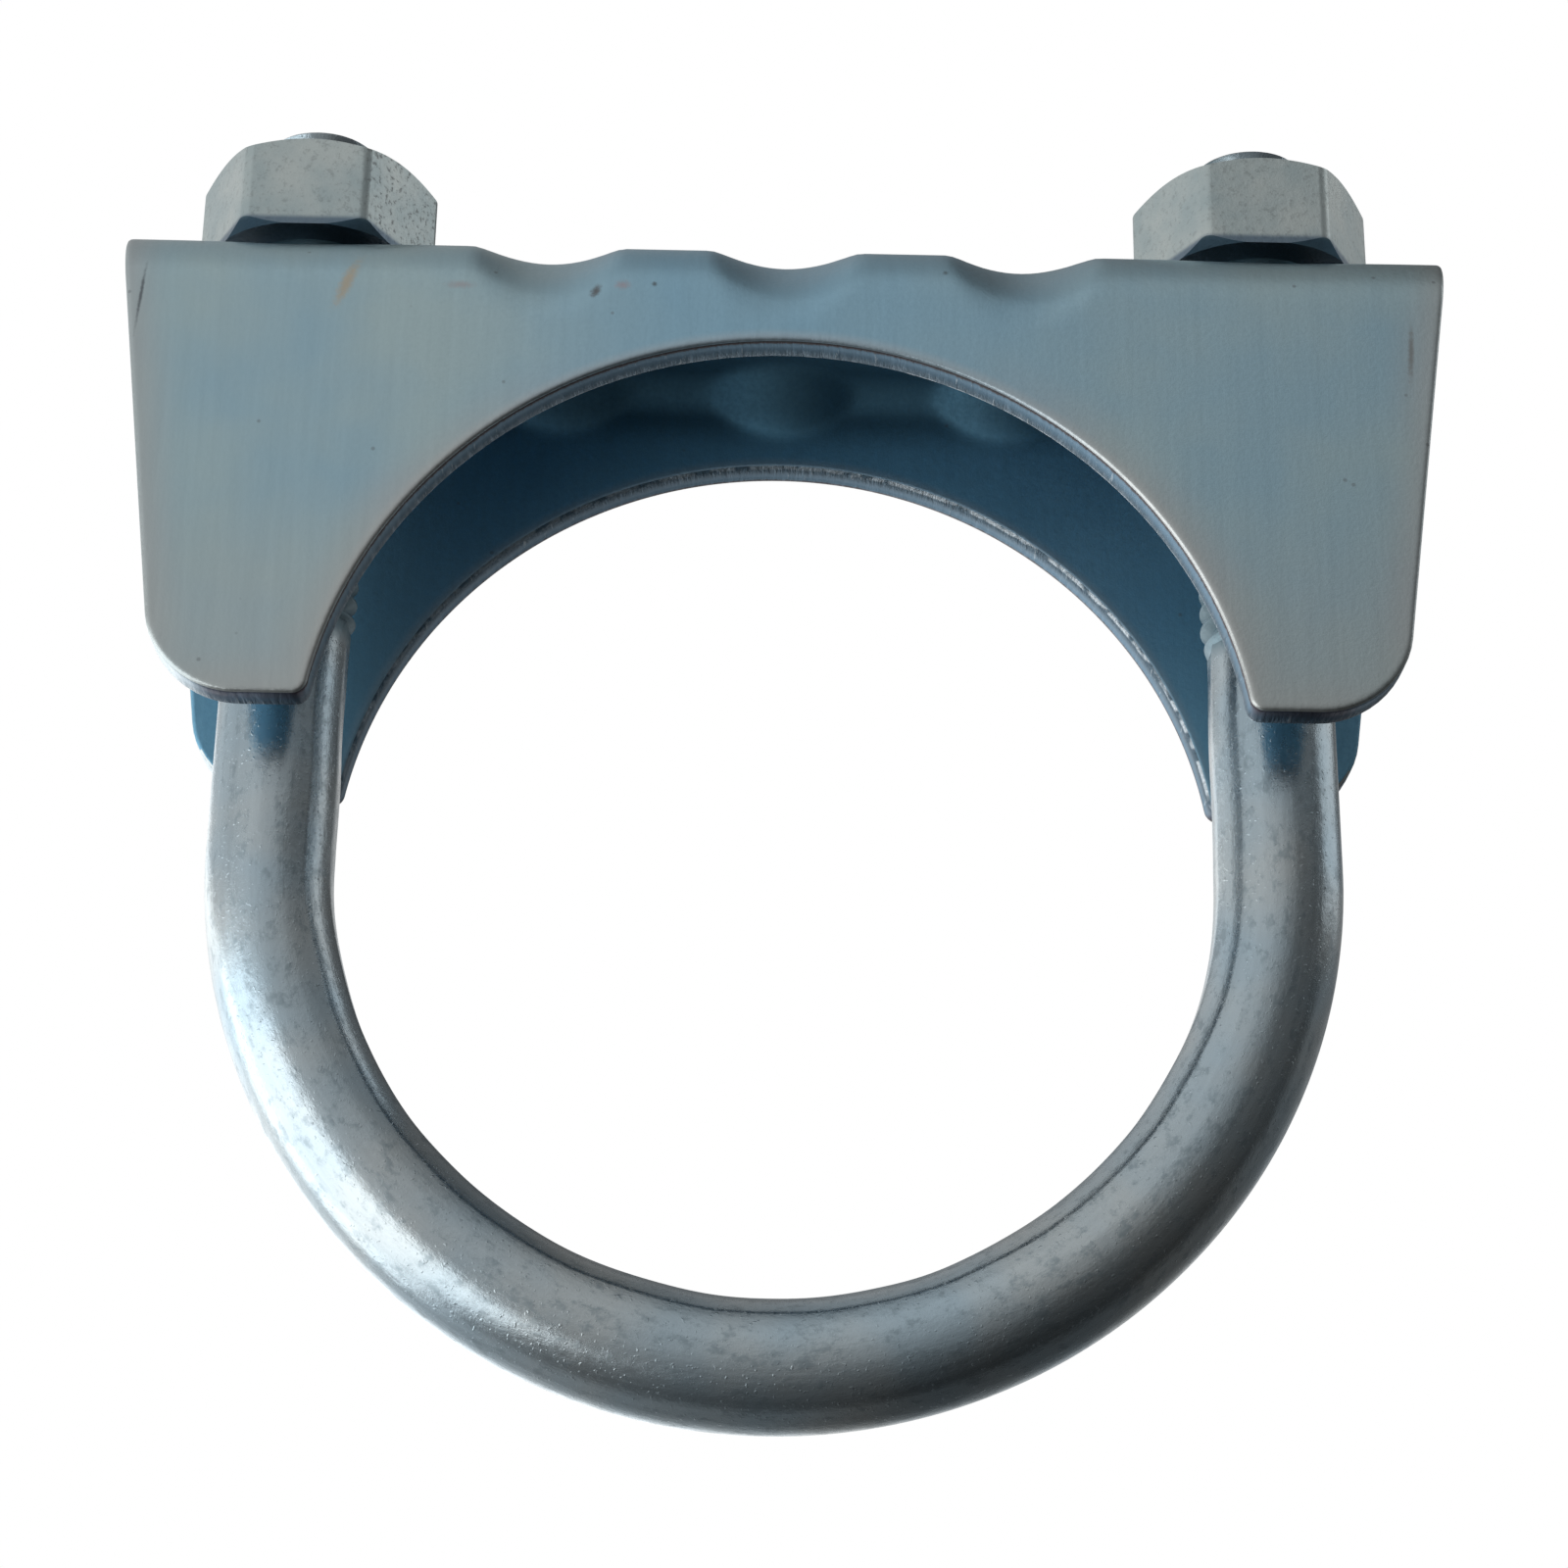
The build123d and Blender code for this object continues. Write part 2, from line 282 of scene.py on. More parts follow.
def sheared_edge():
    """Zinc over the sheared edge of the sheet. The shear leaves fine lines across the thickness that
    scatter light, a rougher torn zone towards the inside and a thin brown line at the burr beside the
    rolled edge. Glints are painted in dashes along the inner rim of the arch, shade is painted under
    the feet, and a highlight is painted on the corner of the left foot."""
    material, tree, shader, place = metal("zinc_on_sheared_edge")
    at = add(tree, "ShaderNodeSeparateXYZ", Vector=place)
    across = add(tree, "ShaderNodeMapping", Vector=place, Scale=per(0.35, 3, 0.35))
    shear = add(tree, "ShaderNodeTexNoise", Vector=across, Scale=1.0, Detail=4.0, Roughness=0.7)
    tone = add(tree, "ShaderNodeMapRange", Value=shear, From_Min=0.3, From_Max=0.7)
    colour = add(tree, "ShaderNodeMix", TINT, _0=tone, _6=linear("#527186"), _7=linear("#69879b"))

    # the torn zone, and bright sparks where the shear lines catch the light
    depth = add(tree, "ShaderNodeMath", UNSIGNED, _0=at.outputs["Y"])
    ragged = add(tree, "ShaderNodeMath", TIMES_PLUS, _0=shear, _1=0.5 * MM, _2=depth)
    torn = add(tree, "ShaderNodeMapRange", SMOOTH, Value=ragged,
               From_Min=INNER + 0.7 * MM, From_Max=INNER + 1.7 * MM, To_Min=0.85, To_Max=0.0)
    colour = add(tree, "ShaderNodeMix", TINT, _0=torn, _6=colour, _7=linear("#435967"))
    spark = add(tree, "ShaderNodeMapRange", Value=shear, From_Min=0.62, From_Max=0.68,
                To_Min=0.0, To_Max=0.45)
    colour = add(tree, "ShaderNodeMix", TINT, _0=spark, _6=colour, _7=linear("#d5dfe5"))

    # a highlight painted on the corner of the left foot
    to_left = add(tree, "ShaderNodeMapRange", Value=at.outputs["X"],
                  From_Min=-34.5 * MM, From_Max=-32.5 * MM, To_Min=1.0, To_Max=0.0)
    low = add(tree, "ShaderNodeMapRange", Value=at.outputs["Z"],
              From_Min=11 * MM, From_Max=14 * MM, To_Min=0.9, To_Max=0.0)
    painted_corner_highlight = add(tree, "ShaderNodeMath", TIMES, _0=to_left, _1=low)
    colour = add(tree, "ShaderNodeMix", TINT, _0=painted_corner_highlight, _6=colour, _7=linear("#d3dee3"))

    # painted glints in dashes along the inner rim of the arch, stronger to the right, and the burr along its
    # outer rim
    centre = add(tree, "ShaderNodeVectorMath", TIMES_PLUS, _0=place, _1=(1, 0, 1), _2=(0, 0, -ARCH_Z))
    arch = add(tree, "ShaderNodeVectorMath", LENGTH, _0=centre)
    on_arch = add(tree, "ShaderNodeMapRange", Value=arch, From_Min=ARCH_RADIUS + 0.5 * MM,
                  From_Max=ARCH_RADIUS + 1.0 * MM, To_Min=0.85, To_Max=0.0)
    dashes = add(tree, "ShaderNodeTexNoise", Vector=place, Scale=per(0.8), Detail=1.0)
    dashes = add(tree, "ShaderNodeMapRange", Value=dashes, From_Min=0.4, From_Max=0.55,
                 To_Min=0.1, To_Max=1.0)
    at_rim = add(tree, "ShaderNodeMapRange", SMOOTH, Value=depth,
                 From_Min=INNER + 0.15 * MM, From_Max=INNER + 0.4 * MM, To_Min=0.9, To_Max=0.0)
    to_right = add(tree, "ShaderNodeMapRange", SMOOTH, Value=at.outputs["X"],
                   From_Min=-4 * MM, From_Max=20 * MM, To_Min=0.3, To_Max=1.0)
    glint = add(tree, "ShaderNodeMath", TIMES, _0=dashes, _1=at_rim)
    glint = add(tree, "ShaderNodeMath", TIMES, _0=glint, _1=to_right)
    glint = add(tree, "ShaderNodeMath", TIMES, _0=glint, _1=on_arch)
    colour = add(tree, "ShaderNodeMix", TINT, _0=glint, _6=colour, _7=linear("#e3edf3"))
    burr = add(tree, "ShaderNodeMapRange", SMOOTH, Value=ragged,
               From_Min=HALF_DEPTH - 0.28 * MM, From_Max=HALF_DEPTH - 0.1 * MM)
    burr = add(tree, "ShaderNodeMath", TIMES, _0=burr, _1=on_arch)
    colour = add(tree, "ShaderNodeMix", TINT, _0=burr, _6=colour, _7=linear("#4f4340"))

    # painted shade under the feet
    painted_underside_shade = add(tree, "ShaderNodeMapRange", SMOOTH, Value=at.outputs["Z"],
                From_Min=FOOT_Z + 0.1 * MM, From_Max=FOOT_Z + 0.7 * MM, To_Min=0.8, To_Max=0.0)
    near_roll = add(tree, "ShaderNodeMapRange", SMOOTH, Value=ragged,
                    From_Min=HALF_DEPTH - 1.3 * MM, From_Max=HALF_DEPTH - 0.3 * MM, To_Min=0.35, To_Max=1.0)
    painted_underside_shade = add(tree, "ShaderNodeMath", TIMES, _0=painted_underside_shade, _1=near_roll)
    colour = add(tree, "ShaderNodeMix", TINT, _0=painted_underside_shade, _6=colour, _7=linear("#403947"))

    shine = add(tree, "ShaderNodeMapRange", Value=shear, From_Min=0.3, From_Max=0.7, To_Min=0.38, To_Max=0.6)
    rough = add(tree, "ShaderNodeMath", TIMES_PLUS, _0=torn, _1=4.0, _2=1.0)
    height = add(tree, "ShaderNodeMath", TIMES, _0=shear, _1=rough)
    plate(tree, shader, colour, shine, height, 0.05)
    return material


def drawn_wire():
    """Bright zinc on drawn steel wire, bent cold. Drawing leaves long fine lines that follow the bend,
    and the plating lies mottled over them, duller in small patches and with a few fine grains. The
    rolled thread is duller than the smooth rod, but for its end."""
    material, tree, shader, place = metal("bright_zinc_on_drawn_wire")
    at = add(tree, "ShaderNodeSeparateXYZ", Vector=place)

    # a place on the wire: out from the bend's centre, across it, and along the bend and up the legs
    up = add(tree, "ShaderNodeMath", {"operation": "MAXIMUM"}, _0=at.outputs["Z"], _1=0.0)
    down = add(tree, "ShaderNodeMath", {"operation": "MINIMUM"}, _0=at.outputs["Z"], _1=0.0)
    flat = add(tree, "ShaderNodeCombineXYZ", X=at.outputs["X"], Y=down)
    out = add(tree, "ShaderNodeVectorMath", LENGTH, _0=flat)
    turn = add(tree, "ShaderNodeMath", {"operation": "ARCTAN2"}, _0=down, _1=at.outputs["X"])
    along = add(tree, "ShaderNodeMath", TIMES_PLUS, _0=turn, _1=LEG_X, _2=up)
    route = add(tree, "ShaderNodeCombineXYZ", X=out, Y=at.outputs["Y"], Z=along)

    stretched = add(tree, "ShaderNodeMapping", Vector=route, Scale=per(0.28, 0.28, 8))
    lines = add(tree, "ShaderNodeTexNoise", Vector=stretched, Scale=1.0, Detail=3.0, Roughness=0.6)
    patchy = add(tree, "ShaderNodeMapping", Vector=route, Scale=per(0.7, 0.7, 1.1))
    patch = add(tree, "ShaderNodeTexNoise", Vector=patchy, Scale=1.0, Detail=5.0, Roughness=0.7)
    cloud = add(tree, "ShaderNodeTexNoise", Vector=place, Scale=per(7), Detail=2.0)
    clouded = add(tree, "ShaderNodeMapRange", Value=cloud, From_Min=0.35, From_Max=0.65)
    colour = add(tree, "ShaderNodeMix", TINT, _0=clouded, _6=linear("#a2b4be"), _7=linear("#b1babd"))
    dull = add(tree, "ShaderNodeMapRange", SMOOTH, Value=patch,
               From_Min=0.5, From_Max=0.68, To_Min=0.0, To_Max=0.55)
    colour = add(tree, "ShaderNodeMix", TINT, _0=dull, _6=colour, _7=linear("#77878f"))
    streak = add(tree, "ShaderNodeMapRange", Value=lines, From_Min=0.3, From_Max=0.7,
                 To_Min=0.96, To_Max=1.04)
    colour = add(tree, "ShaderNodeMix", SHADE, _0=1.0, _6=colour, _7=streak)

    # the rolled thread, up to just below the end of each leg
    threaded = add(tree, "ShaderNodeMapRange", SMOOTH, Value=at.outputs["Z"],
                   From_Min=THREAD_START - 2.6 * MM, From_Max=THREAD_START - 1.2 * MM)
    below_end = add(tree, "ShaderNodeMapRange", SMOOTH, Value=at.outputs["Z"],
                    From_Min=STUD_END - 2.5 * MM, From_Max=STUD_END - 1.2 * MM, To_Min=1.0, To_Max=0.0)
    threaded = add(tree, "ShaderNodeMath", TIMES, _0=threaded, _1=below_end)
    colour = add(tree, "ShaderNodeMix", TINT, _0=threaded, _6=colour, _7=linear("#7d929b"))

    blend = add(tree, "ShaderNodeMix", {"data_type": "FLOAT"}, _0=0.8, _2=lines, _3=patch)
    shine = add(tree, "ShaderNodeMapRange", Value=blend, From_Min=0.35, From_Max=0.65,
                To_Min=0.19, To_Max=0.32)
    shine = add(tree, "ShaderNodeMath", TIMES_PLUS, _0=threaded, _1=0.25, _2=shine)
    grit = add(tree, "ShaderNodeTexNoise", Vector=place, Scale=per(0.24), Detail=1.0)
    grains = add(tree, "ShaderNodeMapRange", SMOOTH, Value=grit,
                 From_Min=0.64, From_Max=0.78, To_Min=0.0, To_Max=0.3)
    height = add(tree, "ShaderNodeMath", {"operation": "ADD"}, _0=blend, _1=grains)
    plate(tree, shader, colour, shine, height, 0.035)
    return material


def forged_nut():
    """Zinc on a cold-forged nut: a plain silver grey with fine pits, most of them on the left nut's inner
    side, and painted shade, bluer and darker, on its underside."""
    material, tree, shader, place = metal("zinc_on_forged_nut")
    at = add(tree, "ShaderNodeSeparateXYZ", Vector=place)
    cloud = add(tree, "ShaderNodeTexNoise", Vector=place, Scale=per(3.5), Detail=3.0, Roughness=0.55)
    grain = add(tree, "ShaderNodeTexNoise", Vector=place, Scale=per(0.35), Detail=4.0, Roughness=0.7)
    clouded = add(tree, "ShaderNodeMapRange", Value=cloud, From_Min=0.35, From_Max=0.65)
    colour = add(tree, "ShaderNodeMix", TINT, _0=clouded, _6=linear("#a4b2b4"), _7=linear("#b6bfbe"))

    pitted = add(tree, "ShaderNodeMapRange", Value=at.outputs["X"], From_Min=3.4 * MM - LEG_X,
                 From_Max=4.2 * MM - LEG_X, To_Min=0.25, To_Max=0.75)
    on_left = add(tree, "ShaderNodeMath", {"operation": "LESS_THAN"}, _0=at.outputs["X"], _1=0.0)
    pitted = add(tree, "ShaderNodeMath", TIMES, _0=pitted, _1=on_left)
    pitted = add(tree, "ShaderNodeMath", {"operation": "MAXIMUM"}, _0=pitted, _1=0.25)
    pits = add(tree, "ShaderNodeMapRange", SMOOTH, Value=grain, From_Min=0.54, From_Max=0.64)
    pits = add(tree, "ShaderNodeMath", TIMES, _0=pits, _1=pitted)
    colour = add(tree, "ShaderNodeMix", TINT, _0=pits, _6=colour, _7=linear("#6c6f70"))
    # painted shade, bluer and darker, on the underside
    painted_underside_shade = add(tree, "ShaderNodeMapRange", SMOOTH, Value=at.outputs["Z"],
                From_Min=NUT_Z + 0.3 * MM, From_Max=NUT_Z + 0.7 * MM, To_Min=0.8, To_Max=0.0)
    colour = add(tree, "ShaderNodeMix", TINT, _0=painted_underside_shade, _6=colour, _7=linear("#4d6276"))
    shine = add(tree, "ShaderNodeMapRange", Value=grain, From_Min=0.3, From_Max=0.7, To_Min=0.3, To_Max=0.45)
    plate(tree, shader, colour, shine, grain, 0.03)
    return material


zinc_face = pressed_sheet("blue_zinc_on_pressed_sheet", clouds=("#96b3c0", "#a4b9bd"), crown="#82adc6",
                          feet="#aeb2b0", warm="#b2afab", roughness=(0.3, 0.42), stains_and_dent_shade=True)
# the faces inside the channel take a darker, bluer copy of the finish: partly painted shade of the channel's
# inside, partly a rougher film
zinc_hollow = pressed_sheet("blue_zinc_in_the_fold", clouds=("#6fa3bf", "#7aacc6"), crown="#6fa7c4",
                            feet="#7cadc4", warm="#7ba6bd", roughness=(0.58, 0.72), stains_and_dent_shade=False)
zinc_edge = sheared_edge()
zinc_wire = drawn_wire()
zinc_nut = forged_nut()


def finish_mesh(bm, name, materials, sharp=38):
    """The bmesh as an object at the origin, smooth but for its edges sharper than the angle."""
    bmesh.ops.remove_doubles(bm, verts=bm.verts, dist=MERGE)
    bmesh.ops.recalc_face_normals(bm, faces=bm.faces)
    mesh = bpy.data.meshes.new(name)
    bm.to_mesh(mesh)
    bm.free()
    for material in materials:
        mesh.materials.append(material)
    mesh.shade_smooth()
    mesh.set_sharp_from_angle(angle=math.radians(sharp))
    piece = bpy.data.objects.new(name, mesh)
    bpy.context.collection.objects.link(piece)
    return piece


def shade_evenly(piece):
    """Large plane faces keep their own normals up to their rounded edges."""
    weighted = piece.modifiers.new("even_shading", "WEIGHTED_NORMAL")
    weighted.keep_sharp = True
    weighted.weight = 100


def everything(bm):
    """All that a bmesh holds, as an operator takes it."""
    return bm.verts[:] + bm.edges[:] + bm.faces[:]


def rise_of(edge):
    """How much higher one end of an edge is than the other."""
    return abs(edge.verts[0].co.z - edge.verts[1].co.z)


def join(bm, other):
    """Moves another bmesh into this one."""
    skin = bpy.data.meshes.new("skin")
    other.to_mesh(skin)
    other.free()
    bm.from_mesh(skin)
    bpy.data.meshes.remove(skin)


def lathe(bm, x, profile):
    """A profile of (radius, height) points turned about the leg's axis."""
    verts = [bm.verts.new((x + radius, 0, height)) for radius, height in profile]
    edges = [bm.edges.new(pair) for pair in zip(verts, verts[1:])]
    bmesh.ops.spin(bm, geom=verts + edges, cent=(x, 0, 0), axis=(0, 0, 1), angle=2 * math.pi,
                   steps=NUT_STEPS, use_merge=True)


def screw(bm, x, tooth, start, turns):
    """A right-hand screw skin: a tooth's (radius, share of the pitch) points spun one turn, then repeated."""
    verts = [bm.verts.new((x + radius, 0, start + share * PITCH)) for radius, share in tooth]
    edges = [bm.edges.new(pair) for pair in zip(verts, verts[1:])]
    bmesh.ops.spin(bm, geom=verts + edges, cent=(x, 0, 0), axis=(0, 0, 1), angle=2 * math.pi,
                   dvec=(0, 0, PITCH / THREAD_STEPS), steps=THREAD_STEPS)
    bmesh.ops.spin(bm, geom=everything(bm), cent=(x, 0, 0), axis=(0, 0, 1), angle=0,
                   dvec=(0, 0, PITCH), steps=turns - 1, use_duplicate=True)
    bmesh.ops.remove_doubles(bm, verts=bm.verts, dist=MERGE)


# A rolled thread's tooth: how much of the thread's depth stands at each share of the pitch
TOOTH = ((0, 0), (0.13, 0.1), (0.4, 0.9), (0.46, 1), (0.54, 1), (0.6, 0.9), (0.87, 0.1), (1, 0))


def make_stud(x):
    """One leg's rolled thread: a screw skin that is trimmed at both heights, grows out of the rod at
    its start and is chamfered at its end."""
    bm = bmesh.new()
    turns = math.ceil((STUD_END - THREAD_FOOT) / PITCH) + 2
    tooth = [(STUD_ROOT + THREAD_DEPTH * rise, share) for share, rise in TOOTH]
    screw(bm, x, tooth, THREAD_FOOT - 1.5 * PITCH, turns)
    for height, way in ((THREAD_FOOT, -1), (STUD_END, 1)):
        cut = bmesh.ops.bisect_plane(bm, geom=everything(bm), plane_co=(x, 0, height), plane_no=(0, 0, way),
                                     clear_outer=True, dist=CUT)
        rim = [e for e in cut["geom_cut"] if isinstance(e, bmesh.types.BMEdge)]
        cap = bmesh.ops.contextual_create(bm, geom=rim)["faces"]
    bmesh.ops.inset_region(bm, faces=cap, thickness=END_CHAMFER + END_INSET, use_even_offset=True)
    bmesh.ops.translate(bm, verts=list({v for f in cap for v in f.verts}), vec=(0, 0, -END_DISH))

    # the rolls press the thread out of the rod over its run-out, and the end is turned to a chamfer
    for v in bm.verts:
        out = Vector((v.co.x - x, v.co.y, 0))
        grown = max((v.co.z - THREAD_FOOT) / THREAD_FADE, 0)
        least = STUD_ROOT + CORE_EASE * (1 - min(grown, 1))
        chamfer = STUD_RADIUS - END_CHAMFER + STUD_END - v.co.z
        most = min(STUD_ROOT + START_DEPTH + THREAD_DEPTH * grown, chamfer)
        if out.length > END_CORE and v.co.z < STUD_END - SLACK:
            out *= min(max(out.length, least), most) / out.length
        elif out.length > STUD_RADIUS - END_CHAMFER:
            out *= (STUD_RADIUS - END_CHAMFER) / out.length
        v.co.x, v.co.y = x + out.x, out.y
    return bm


def make_u_bolt():
    """The bent rod with its flattened inner side, and a rolled thread on each leg."""
    bm = bmesh.new()
    bmesh.ops.create_circle(bm, cap_ends=True, segments=ROD_SIDES, radius=ROD_RADIUS)
    crease = Vector((math.cos(CREASE_ANGLE), math.sin(CREASE_ANGLE), 0)) * ROD_RADIUS
    land = Vector((ROD_RADIUS - LAND_DEPTH, LAND_HALF, 0))
    slope = (crease - land).cross(Vector((0, 0, 1)))
    mirror = Vector((1, -1, 1))
    for point, normal in ((land, Vector((1, 0, 0))), (land, slope), (land * mirror, slope * mirror)):
        bmesh.ops.bisect_plane(bm, geom=everything(bm), plane_co=point, plane_no=normal,
                               clear_outer=True, dist=CUT)
    bmesh.ops.translate(bm, verts=bm.verts, vec=(-LEG_X, 0, 0))
    bend = bmesh.ops.spin(bm, geom=bm.faces[:], cent=(0, 0, 0), axis=(0, -1, 0), angle=math.pi,
                          steps=BEND_STEPS)
    left = [f for f in bm.faces if all(v.co.x < 0 and abs(v.co.z) < MERGE for v in f.verts)]
    right = [f for f in bend["geom_last"] if isinstance(f, bmesh.types.BMFace)]
    for end in (left, right):
        bmesh.ops.spin(bm, geom=end, cent=(0, 0, 0), axis=(0, 0, 1), dvec=(0, 0, LEG_END / LEG_STEPS),
                       angle=0, steps=LEG_STEPS)
    shoulders = [e for e in bm.edges if all(abs(v.co.z - LEG_END) < MERGE for v in e.verts)]
    bmesh.ops.bevel(bm, geom=shoulders, offset=LEG_SHOULDER, segments=4, profile=0.5, affect="EDGES",
                    material=-1)

    # the flattening of the inner side is a little wavy
    for v in bm.verts:
        out = Vector((v.co.x, 0, min(v.co.z, 0)))
        inner = min(max((LAND_WAVE_START - out.length) / MM, 0), 1)
        wave = noise.noise(Vector((out.x, max(v.co.z, 0), out.z)) / LAND_WAVE_LENGTH)
        v.co += out.normalized() * wave * inner * LAND_WAVE
    for x in (-LEG_X, LEG_X):
        join(bm, make_stud(x))
    return finish_mesh(bm, "u_bolt_rod", [zinc_wire])


def rounded_max(a, b, width):
    """The larger of two depths, with the corner between them rounded over a width."""
    near = max(width - abs(a - b), 0) / width
    return max(a, b) + near ** 2 * width / 4


def fold_channel(bm):
    """The folded sheet before its arch: a C-shaped section run along X, with plane flanges below the band."""
    section = [(-HALF_DEPTH, BAND_Z), (-HALF_DEPTH, TOP_Z), (HALF_DEPTH, TOP_Z), (HALF_DEPTH, BAND_Z),
               (INNER, BAND_Z), (INNER, TOP_Z - SHEET), (-INNER, TOP_Z - SHEET), (-INNER, BAND_Z)]
    corners = [bm.verts.new((-TOP_HALF, y, z)) for y, z in section]
    bm.faces.new(corners)
    for pair, radius in ((corners[1:3], FOLD + SHEET), (corners[5:7], FOLD)):
        bmesh.ops.bevel(bm, geom=pair, offset=radius, segments=14, profile=0.5, affect="VERTICES",
                        material=-1, clamp_overlap=False)
    level = [e for e in bm.edges if e.calc_length() > 1.5 * SHEET and rise_of(e) < SLACK]
    bmesh.ops.subdivide_edges(bm, edges=level, cuts=WEB_CUTS)
    upright = [e for e in bm.edges if rise_of(e) > 1.0 * MM]
    bmesh.ops.subdivide_edges(bm, edges=upright, cuts=FLANGE_CUTS)
    end = bm.faces[:]
    for run, steps in ((END_COLUMN, 1), (2 * (TOP_HALF - END_COLUMN), COLUMNS), (END_COLUMN, 1)):
        grown = bmesh.ops.spin(bm, geom=end, cent=(0, 0, 0), axis=(1, 0, 0), dvec=(run / steps, 0, 0),
                               angle=0, steps=steps)
        end = [f for f in grown["geom_last"] if isinstance(f, bmesh.types.BMFace)]

    # below the band each flange is one plane face, in and out
    ends = [f for f in bm.faces if all(abs(v.co.z - BAND_Z) < MERGE for v in f.verts)]
    flange = bmesh.ops.extrude_face_region(bm, geom=ends)["geom"]
    low = [v for v in flange if isinstance(v, bmesh.types.BMVert)]
    bmesh.ops.delete(bm, geom=[f for f in ends if f.is_valid], context="FACES_ONLY")
    bmesh.ops.translate(bm, verts=low, vec=(0, 0, FOOT_Z - BAND_Z))
    ribs = [e for e in bm.edges if rise_of(e) > 10 * MM and abs(e.verts[0].co.x) < TOP_HALF - SLACK]
    bmesh.ops.dissolve_edges(bm, edges=ribs, use_verts=False)
    foot = [e for e in bm.edges if all(abs(v.co.z - FOOT_Z) < MERGE for v in e.verts)
            and abs(e.verts[0].co.x - e.verts[1].co.x) < MERGE and abs(e.verts[0].co.x) < TOP_HALF - SLACK]
    bmesh.ops.dissolve_edges(bm, edges=foot, use_verts=True)
    bmesh.ops.dissolve_verts(bm, verts=[v for v in bm.verts if len(v.link_edges) == 2])
    for v in bm.verts:
        v.co.x *= 1 - (1 - FOOT_HALF / TOP_HALF) * (TOP_Z - v.co.z) / (TOP_Z - FOOT_Z)


def press_gussets(bm):
    """A rounded groove pressed across each fold outside, the bump that it raises inside, and the slight
    dishing of the web where the nuts have borne on it."""
    for v in bm.verts:
        if v.co.z < BAND_Z + SLACK:
            continue
        outside = abs(v.co.y) > INNER + SLACK or v.co.z > TOP_Z - SHEET + SLACK
        side = math.copysign(1, v.co.y)
        inward = Vector((0, -side, -1)).normalized()
        if outside:
            corner, radius, soft = Vector((0, side * HALF_DEPTH, TOP_Z)), DENT_RADIUS, DENT_SOFTNESS
            reach = (GUSSET_REACH - DENT_RELIEF) / math.sqrt(2) + (math.sqrt(2) - 1) * SHEET
        else:
            corner, radius, soft = Vector((0, side * INNER, TOP_Z - SHEET)), BUMP_RADIUS, BUMP_SOFTNESS
            reach = GUSSET_REACH / math.sqrt(2)
        depth = (Vector((0, v.co.y, v.co.z)) - corner).dot(inward)
        gap = min(abs(v.co.x - x) for x in GUSSETS)
        if gap < radius:
            groove = reach - (radius - math.sqrt(radius ** 2 - gap ** 2))
            v.co += inward * (rounded_max(depth, groove, soft) - depth)
        from_leg = (abs(v.co.x) - LEG_X) / WEB_DISH_RADIUS
        v.co.z -= WEB_DISH * math.exp(-from_leg ** 2) * (v.co.z - BAND_Z) / (TOP_Z - BAND_Z)


def arch_outline():
    """The arch with the small rounds where it runs out at the feet, and straight down below them."""
    reach = ARCH_RADIUS + TOE_CORNER
    rise = FOOT_Z + TOE_CORNER - ARCH_Z
    toe_x = math.sqrt(reach ** 2 - rise ** 2)
    low = math.asin(rise / reach)
    crown = [low + (math.pi - 2 * low) * i / ARCH_STEPS for i in range(ARCH_STEPS + 1)]
    toe = [math.pi + low + (math.pi / 2 - low) * i / TOE_STEPS for i in range(1, TOE_STEPS + 1)]
    right = [(toe_x + TOE_CORNER * math.cos(a), FOOT_Z + TOE_CORNER * (1 + math.sin(a))) for a in toe]
    left = [(-x, z) for x, z in reversed(right)]
    arch = [(ARCH_RADIUS * math.cos(a), ARCH_Z + ARCH_RADIUS * math.sin(a)) for a in crown]
    base = FOOT_Z - 4 * MM
    return [(toe_x, base)] + right[::-1] + arch + left[::-1] + [(-toe_x, base)]


def blank_saddle():
    """The folded channel with gussets and foot corners, and the arch and leg holes cut through it."""
    bm = bmesh.new()
    fold_channel(bm)
    press_gussets(bm)
    posts = [e for e in bm.edges if all(abs(v.co.z - FOOT_Z) < SLACK for v in e.verts)
             and abs(e.verts[0].co.y - e.verts[1].co.y) > SHEET / 2]
    lean = math.atan2(TOP_HALF - FOOT_HALF, TOP_Z - FOOT_Z)
    bmesh.ops.bevel(bm, geom=posts, offset=FOOT_CORNER * math.tan(math.pi / 4 - lean / 2), segments=12,
                    profile=0.5, affect="EDGES", material=-1, clamp_overlap=False)
    blank = finish_mesh(bm, "saddle_blank", [])

    bm = bmesh.new()
    ring = [bm.verts.new((x, -2 * HALF_DEPTH, z)) for x, z in arch_outline()]
    section = bm.faces.new(ring)
    tube = bmesh.ops.extrude_face_region(bm, geom=[section], use_keep_orig=True)["geom"]
    bmesh.ops.translate(bm, verts=[v for v in tube if isinstance(v, bmesh.types.BMVert)],
                        vec=(0, 4 * HALF_DEPTH, 0))
    for x in (-LEG_X, LEG_X):
        bmesh.ops.create_cone(bm, cap_ends=True, segments=ROD_SIDES, radius1=HOLE_RADIUS,
                              radius2=HOLE_RADIUS, depth=3 * SHEET,
                              matrix=Matrix.Translation((x, 0, TOP_Z - SHEET / 2)))
    cutter = finish_mesh(bm, "saddle_cutter", [])
    cut = blank.modifiers.new("cut", "BOOLEAN")
    cut.object, cut.solver, cut.operation = cutter, "EXACT", "DIFFERENCE"
    bm = bmesh.new()
    bm.from_mesh(blank.evaluated_get(bpy.context.evaluated_depsgraph_get()).to_mesh())
    bpy.data.objects.remove(cutter)
    bpy.data.objects.remove(blank)
    bmesh.ops.remove_doubles(bm, verts=bm.verts, dist=2 * SLACK)
    return bm


